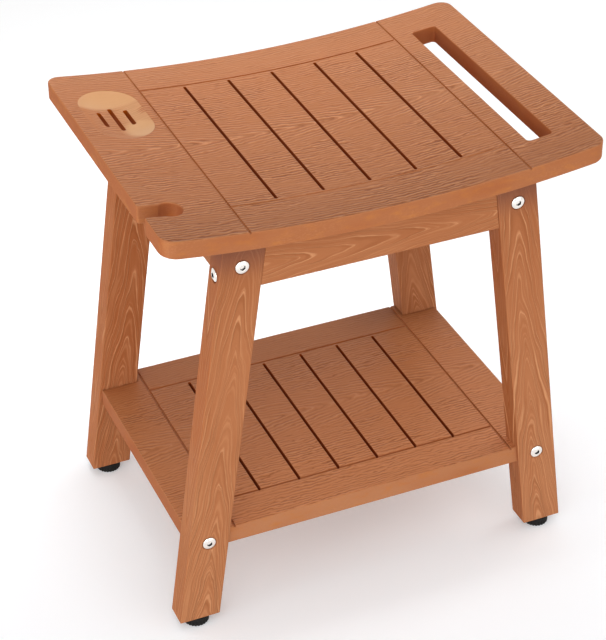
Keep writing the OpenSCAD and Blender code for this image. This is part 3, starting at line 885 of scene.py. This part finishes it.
class BENCH_OT_shelf(bpy.types.Operator):
    """Build the flat shelf slab, notched round the legs"""
    bl_idname = "bench.shelf"
    bl_label = "Shelf slab"

    def execute(self, context):
        sizes = context.scene.bench_shelf
        bars = context.scene.bench_frame
        finish = context.scene.bench_finish
        half, wide = SHELF_HIGH.x, SHELF_HIGH.y
        thick = SHELF_HIGH.z - SHELF_LOW.z
        bm = plate(2 * half, 2 * wide, thick, 0.0)
        lean = math.tan(bars.lean)
        inner_y = bars.leg_y - bars.leg_thick / 2 - sizes.leg_gap
        notches = []
        for i, j in ((-1, -1), (-1, 1), (1, -1), (1, 1)):
            notch = box_shape((0, inner_y, -40 * MM), (0.09, 0.2, 40 * MM))
            for vert in notch.verts:
                height = vert.co.z + SHELF_HIGH.z - bars.lift
                inner = bars.foot_x - lean * height - bars.leg_width / 2 - sizes.leg_gap
                vert.co.x += inner
                vert.co.x *= i
                vert.co.y *= j
            notches.append(close_up(notch))
        bm = carve(bm, join_shapes(notches))
        round_rims(bm, thick, sizes.edge)
        bm = carve(bm, join_shapes(slot_row(sizes, 6, thick)))
        bm = cut_boards(bm, sizes, wide, sizes.groove_depth)
        shift(bm, 0, 0, SHELF_HIGH.z)
        # Painted light: the shelf's top is its teak brightened by 1.2.
        material = slab_material("shelf_embossed_teak", finish, 6.1, 1.25, 1.2,
                                 3 * sizes.slot_pitch / MM, sizes.slot_length / MM / 2,
                                 finish.shelf_rim, finish.bar_teak)
        stand("shelf_slab", bm, material, "bench", ["shelf_panel"])
        return {"FINISHED"}


def soften(node, radius):
    """A merged copy of a CAD bar with its long edges rounded."""
    bm = bmesh.new()
    bm.from_mesh(NODES[node].data)
    bmesh.ops.remove_doubles(bm, verts=bm.verts, dist=CAD_SAME)
    bmesh.ops.dissolve_limit(bm, angle_limit=math.radians(0.4), verts=bm.verts,
                             edges=bm.edges, use_dissolve_boundaries=False, delimit=set())
    long_edges = [e for e in bm.edges
                  if e.calc_length() > SHORT_EDGE and e.calc_face_angle(0.0) > math.radians(60)]
    bevel(bm, long_edges, radius, 3)
    return bm


class BENCH_OT_legs(bpy.types.Operator):
    """Build the four leaning legs"""
    bl_idname = "bench.legs"
    bl_label = "Legs"

    def execute(self, context):
        bars = context.scene.bench_frame
        finish = context.scene.bench_finish
        # Painted shade: each leg's front and side faces get their own tints, darkest on the back legs
        # and on the front right leg's inner side, where the seat and the frame shade them.
        plan = (("front_left", 3.1, (1.0, 0.99, 0.98), (1.03, 0.87, 0.66)),
                ("front_right", 10.8, (1.02, 1.0, 1.0), (0.84, 0.63, 0.38)),
                ("back_left", 18.5, (0.85, 0.67, 0.47), (1.01, 0.80, 0.54)),
                ("back_right", 26.2, (0.74, 0.66, 0.58), (0.76, 0.62, 0.50)))
        for corner, seed, front, side in plan:
            node = "leg_" + corner
            material = bar_material("leg_grain_" + corner, finish, bars, node, seed, front, side)
            bm = soften(node, bars.bar_edge)
            stand("leg_bar_" + corner, bm, material, "bench", [node])
        return {"FINISHED"}


class BENCH_OT_rails(bpy.types.Operator):
    """Build the aprons and the side rails under the seat"""
    bl_idname = "bench.rails"
    bl_label = "Rails"

    def execute(self, context):
        bars = context.scene.bench_frame
        finish = context.scene.bench_finish
        plan = (("apron_front", "apron_plastic", 2.3), ("apron_back", "apron_plastic", 9.9),
                ("side_rail_left", "side_rail_plastic", 5.5),
                ("side_rail_right", "side_rail_plastic", 12.4))
        for node, slot, seed in plan:
            material = bar_material(node + "_grain", finish, bars, node, seed)
            bm = soften(node, bars.bar_edge)
            stand(node + "_bar", bm, material, "bench", [node])
        return {"FINISHED"}


def bolt_shape(sizes, long):
    """A dome-head bolt along -Z, its head's underside at z = 0."""
    rim = sizes.head_width / 2
    dome = sizes.head_height / 2
    ball = (rim ** 2 + dome ** 2) / (2 * dome)
    seat = sizes.head_height - ball
    profile = [(sizes.shank / 2 - 0.5 * MM, -long), (sizes.shank / 2, -long + 0.5 * MM),
               (sizes.shank / 2, 0.0), (rim - 0.3 * MM, 0.0), (rim, 0.3 * MM),
               (rim, dome - 0.25 * MM), (rim - 0.07 * MM, dome - 0.05 * MM)]
    inner = sizes.socket / 2 + 1.0 * MM
    steps = 8
    for i in range(steps + 1):
        r = (rim - 0.3 * MM) * (1 - i / steps) + inner * i / steps
        profile.append((r, seat + math.sqrt(ball ** 2 - r ** 2)))
    prism = bmesh.new()
    point = sizes.socket / 2 / math.cos(math.pi / 6)
    bmesh.ops.create_cone(prism, cap_ends=True, segments=6, radius1=point, radius2=point,
                          depth=4 * sizes.socket_depth)
    top = sizes.head_height
    bm = carve(close_up(turned(profile, 48)), shift(prism, 0, 0, top + sizes.socket_depth))
    rims = [e for e in bm.edges
            if e.calc_face_angle(0.0) > math.radians(50)
            and min(v.co.z for v in e.verts) > top - 0.9 * MM
            and max(v.co.xy.length for v in e.verts) < point + 0.2 * MM
            and abs(e.verts[0].co.z - e.verts[1].co.z) < 0.3 * MM]
    bevel(bm, rims, 0.22 * MM, 2)
    # The socket's walls take the second material, a dark metal for painted shade.
    for face in bm.faces:
        middle = face.calc_center_median()
        inside = middle.xy.length < point and 0 < middle.z < top
        face.material_index = int(inside and abs(face.normal.z) < 0.5)
    return bm


def solid_boxes(node):
    """The lowest and highest corner of each solid in a CAD node."""
    bm = bmesh.new()
    bm.from_mesh(NODES[node].data)
    bmesh.ops.remove_doubles(bm, verts=bm.verts, dist=CAD_SAME)
    boxes = []
    left = set(bm.verts)
    for start in bm.verts:
        if start not in left:
            continue
        left.remove(start)
        queue = [start]
        group = []
        while queue:
            vert = queue.pop()
            group.append(vert.co.copy())
            for edge in vert.link_edges:
                other = edge.other_vert(vert)
                if other in left:
                    left.remove(other)
                    queue.append(other)
        boxes.append([Vector([pick(p[k] for p in group) for k in range(3)])
                      for pick in (min, max)])
    bm.free()
    return boxes


def bolts_from(node, sizes, axis):
    """One bolt for each solid of a CAD node, each placed on the solid it stands for."""
    parts = []
    for low, high in solid_boxes(node):
        middle = (low + high) / 2
        side = math.copysign(1.0, middle[axis])
        out = high[axis] if side > 0 else low[axis]
        shape = bolt_shape(sizes, high[axis] - low[axis] - sizes.head_height)
        way = Vector((0, 0, 0))
        way[axis] = side
        turn = Vector((0, 0, 1)).rotation_difference(way).to_matrix()
        base = middle.copy()
        base[axis] = out - side * sizes.head_height
        bmesh.ops.rotate(shape, cent=(0, 0, 0), matrix=turn, verts=shape.verts)
        parts.append(shift(shape, *base))
    return join_shapes(parts)


class BENCH_OT_bolts(bpy.types.Operator):
    """Build the dome-head bolts in the legs"""
    bl_idname = "bench.bolts"
    bl_label = "Bolts"

    def execute(self, context):
        bars = context.scene.bench_frame
        finish = context.scene.bench_finish
        steel = metal_material("polished_steel", finish.steel, 0.17, 0.004)
        # Painted shade: dark metal for the socket walls.
        dark = metal_material("socket_shade_steel", SOCKET_SHADE, 0.45, 0.01)
        for node, axis in (("face_bolts", 1), ("side_bolts", 0), ("shelf_bolts", 1)):
            stand(node.replace("bolts", "dome_bolts"), bolts_from(node, bars, axis), steel,
                  "bench", [node], 40.0, dark)
        return {"FINISHED"}


class BENCH_OT_fixings(bpy.types.Operator):
    """Finish the nuts, screws and inserts that the frame keeps"""
    bl_idname = "bench.fixings"
    bl_label = "Nuts, screws and inserts"

    def execute(self, context):
        finish = context.scene.bench_finish
        zinc = metal_material("zinc_plate", finish.zinc, 0.38, 0.02)
        brushed = metal_material("brushed_steel", finish.steel, 0.28, 0.01)
        for node in ("side_rail_nuts", "apron_nuts", "shelf_nuts", "leg_inserts"):
            coat(node, zinc)
        coat("seat_screws", brushed)
        return {"FINISHED"}


def pad_shape(sizes, x, y):
    """A turned foot pad with a pocket for the stud and a scalloped grip rim."""
    radius, tall = sizes.pad_width / 2, sizes.pad_height
    neck = sizes.stud / 2 + 0.06 * MM
    room = neck + COLLAR_REACH
    profile = [(0.0, 0.35 * MM), (radius - 5.0 * MM, 0.35 * MM), (radius - 4.4 * MM, 0.0),
               (radius - 1.0 * MM, 0.0), (radius - 0.4 * MM, 0.25 * MM), (radius, 0.9 * MM),
               (radius, 2.6 * MM), (radius, 4.4 * MM), (radius, 5.8 * MM), (radius, 6.6 * MM),
               (radius, 7.2 * MM), (radius - 0.12 * MM, 7.9 * MM), (radius - 0.5 * MM, 8.7 * MM),
               (radius - 1.1 * MM, 9.3 * MM), (radius - 1.9 * MM, tall), (neck + 0.4 * MM, tall),
               (neck, tall - 0.4 * MM), (neck, POCKET_HIGH), (room, POCKET_HIGH),
               (room, POCKET_LOW), (0.0, POCKET_LOW)]
    bm = turned(profile, 144)
    for vert in bm.verts:
        r = vert.co.xy.length
        if r > radius - 1.2 * MM and vert.co.z < NOTCH_TOP:
            angle = math.atan2(vert.co.y, vert.co.x) * PAD_NOTCHES
            dip = max(0.0, math.cos(angle)) ** 0.8 * NOTCH_DEPTH
            fade = min(1.0, (NOTCH_TOP - vert.co.z) / (1.2 * MM))
            vert.co.xy *= (r - dip * fade) / r
    return shift(close_up(bm), x, y)


def stud_shape(sizes, x, y, top):
    """A threaded stud with a collar at its lower end."""
    radius = sizes.stud / 2
    collar = radius + COLLAR_REACH
    low = 3.6 * MM
    profile = [(0.0, low), (collar - 0.2 * MM, low), (collar, low + 0.2 * MM),
               (collar, low + 2.2 * MM), (collar - 0.2 * MM, low + 2.4 * MM),
               (radius, low + 2.4 * MM)]
    start = low + 3.2 * MM
    rise = top - 0.6 * MM - start
    rings = int(rise / (sizes.thread / 6))
    profile += [(radius, start + rise * i / rings) for i in range(rings + 1)]
    profile += [(radius - 0.6 * MM, top), (0.0, top)]
    bm = turned(profile, 36)
    for vert in bm.verts:
        r = vert.co.xy.length
        if abs(r - radius) < 1e-5 and start < vert.co.z < top - 1.0 * MM:
            turn = vert.co.z / sizes.thread - math.atan2(vert.co.y, vert.co.x) / (2 * math.pi)
            valley = abs((turn % 1.0) - 0.5) * 2
            fade = min(1.0, (vert.co.z - start) / sizes.thread)
            vert.co.xy *= (radius - THREAD_DEPTH * valley * fade) / r
    return shift(close_up(bm), x, y)


class BENCH_OT_feet(bpy.types.Operator):
    """Build the rubber foot pads and their threaded studs"""
    bl_idname = "bench.feet"
    bl_label = "Feet"

    def execute(self, context):
        sizes = context.scene.bench_frame
        finish = context.scene.bench_finish
        rubber = rubber_material("black_rubber", finish.rubber)
        zinc = metal_material("stud_zinc", finish.zinc, 0.32, 0.01)
        for corner in CORNERS:
            x = sizes.foot_x * (1 if corner.endswith("right") else -1)
            y = sizes.leg_y * (1 if corner.startswith("back") else -1)
            stand("rubber_pad_" + corner, pad_shape(sizes, x, y), rubber,
                  "pad_" + corner, ["foot_pad_" + corner], 30.0)
            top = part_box("foot_stud_" + corner)[1].z
            stand("threaded_stud_" + corner, stud_shape(sizes, x, y, top), zinc,
                  "stud_" + corner, ["foot_stud_" + corner], 50.0)
        return {"FINISHED"}


def make_floor(studio):
    """A wide pale floor that whitens away from the bench."""
    bm = bmesh.new()
    bmesh.ops.create_grid(bm, x_segments=1, y_segments=1, size=FLOOR_SIZE)
    shift(bm, 0, 0, -FLOOR_DROP)
    mesh = bpy.data.meshes.new("studio_floor")
    bm.to_mesh(mesh)
    bm.free()
    floor = add_object("studio_floor", mesh)
    sheet = Sheet(bpy.data.materials.new("studio_paper"))
    x, y, z = sheet.place()
    mottle = sheet.noise(x * 0.004, y * 0.004, z, 2.0)
    # Painted light: the floor's colour whitens away from the bench, where the lamps light it less.
    far = (x ** 2.0 + y ** 2.0).root().smooth(500.0, 1500.0)
    paper = sheet.paint(studio.floor, (far + mottle * 0.05, FAR_FLOOR))
    matte = sheet.add("ShaderNodeBsdfDiffuse", {}, {"Color": paper})
    glow = sheet.add("ShaderNodeEmission", {},
                     {"Color": WHITE, "Strength": sheet.seen() * studio.floor_lift})
    both = sheet.add("ShaderNodeAddShader", {}, {0: matte, 1: glow})
    sheet.add("ShaderNodeOutputMaterial", {}, {"Surface": both})
    mesh.materials.append(sheet.owner)


def make_dome(scene, studio):
    """Even light from all round, which shows as white."""
    scene.world = bpy.data.worlds.new("studio_dome")
    sheet = Sheet(scene.world)
    strength = sheet.seen() * (1.0 - studio.dome) + studio.dome
    sky = sheet.add("ShaderNodeBackground", {}, {"Color": WHITE, "Strength": strength})
    sheet.add("ShaderNodeOutputWorld", {}, {"Surface": sky})


def make_lamps(studio):
    """Soft square lamps, each with its watts, side, spread, place and target."""
    for name, watts, size, spread, place, target in (
            ("rear_lamp", studio.rear_lamp, 0.8, 30, (0.0, 0.3, 2.3), (0.0, 0.42, 0.45)),
            ("front_lamp", studio.front_lamp, 1.4, 180, (-1.3, -1.9, 2.2), (0, 0, 0.3)),
            ("low_lamp", studio.low_lamp, 1.2, 180, (-0.8, -2.2, 0.65), (0, 0, 0.3)),
            ("right_lamp", studio.right_lamp, 1.2, 180, (0.9, -2.2, 0.5), (0, 0, 0.1)),
            ("left_lamp", studio.left_lamp, 1.0, 180, (-2.2, -0.6, 0.5), (0, 0, 0.3)),
            ("side_lamp", studio.side_lamp, 1.2, 180, (2.0, 0.3, 1.6), (0, 0, 0.3))):
        lamp = bpy.data.lights.new(name, "AREA")
        lamp.shape = "SQUARE"
        lamp.size = size
        lamp.energy = watts
        lamp.spread = math.radians(spread)
        thing = add_object(name, lamp)
        thing.location = place
        thing.rotation_mode = "QUATERNION"
        thing.rotation_quaternion = (Vector(target) - Vector(place)).to_track_quat("-Z", "Y")


def make_camera(scene, studio):
    """The camera at the photo's place, turned about its line of sight."""
    camera = bpy.data.cameras.new("photo_camera")
    camera.lens = studio.focal
    camera.sensor_width = SENSOR
    camera.clip_start = 0.05
    camera.clip_end = 60.0
    thing = add_object("photo_camera", camera)
    look = Vector(studio.look).normalized()
    right = look.cross(Vector((0, 0, 1))).normalized()
    up = right.cross(look)
    c, s = math.cos(studio.roll), math.sin(studio.roll)
    right, up = right * c + up * s, up * c - right * s
    pose = Matrix((right, up, -look)).transposed().to_4x4()
    pose.translation = Vector(studio.place)
    thing.matrix_world = pose
    scene.camera = thing


class BENCH_OT_studio(bpy.types.Operator):
    """Build the pale floor, the soft lamps and the camera"""
    bl_idname = "bench.studio"
    bl_label = "Studio"

    def execute(self, context):
        scene = context.scene
        studio = scene.bench_studio
        make_floor(studio)
        make_dome(scene, studio)
        make_lamps(studio)
        make_camera(scene, studio)
        scene.view_settings.view_transform = "Standard"
        return {"FINISHED"}


class BENCH_PT_panel(bpy.types.Panel):
    """Lists the bench's pieces, sizes and colours"""
    bl_idname = "BENCH_PT_panel"
    bl_label = "Shower bench"
    bl_space_type = "VIEW_3D"
    bl_region_type = "UI"
    bl_category = "Bench"

    def draw(self, context):
        column = self.layout.column(align=True)
        for maker in MAKERS:
            column.operator(maker.bl_idname)
        for holder in HOLDERS:
            group = getattr(context.scene, holder)
            box = self.layout.box()
            box.label(text=type(group).__doc__)
            for key in type(group).__annotations__:
                box.prop(group, key)


HOLDERS = {
    "bench_seat": SeatSizes,
    "bench_shelf": ShelfSizes,
    "bench_frame": FrameSizes,
    "bench_finish": BenchFinish,
    "bench_studio": Studio,
}
MAKERS = (BENCH_OT_seat, BENCH_OT_shelf, BENCH_OT_legs, BENCH_OT_rails, BENCH_OT_bolts,
          BENCH_OT_fixings, BENCH_OT_feet, BENCH_OT_studio)


def register():
    for kind in tuple(HOLDERS.values()) + MAKERS + (BENCH_PT_panel,):
        bpy.utils.register_class(kind)
    for holder, kind in HOLDERS.items():
        setattr(bpy.types.Scene, holder, bpy.props.PointerProperty(type=kind))


def unregister():
    for holder in HOLDERS:
        delattr(bpy.types.Scene, holder)
    for kind in reversed(tuple(HOLDERS.values()) + MAKERS + (BENCH_PT_panel,)):
        bpy.utils.unregister_class(kind)


def main():
    register()
    bpy.ops.bench.seat()
    bpy.ops.bench.shelf()
    bpy.ops.bench.legs()
    bpy.ops.bench.rails()
    bpy.ops.bench.bolts()
    bpy.ops.bench.fixings()
    bpy.ops.bench.feet()
    bpy.ops.bench.studio()


if __name__ == "__main__":
    main()
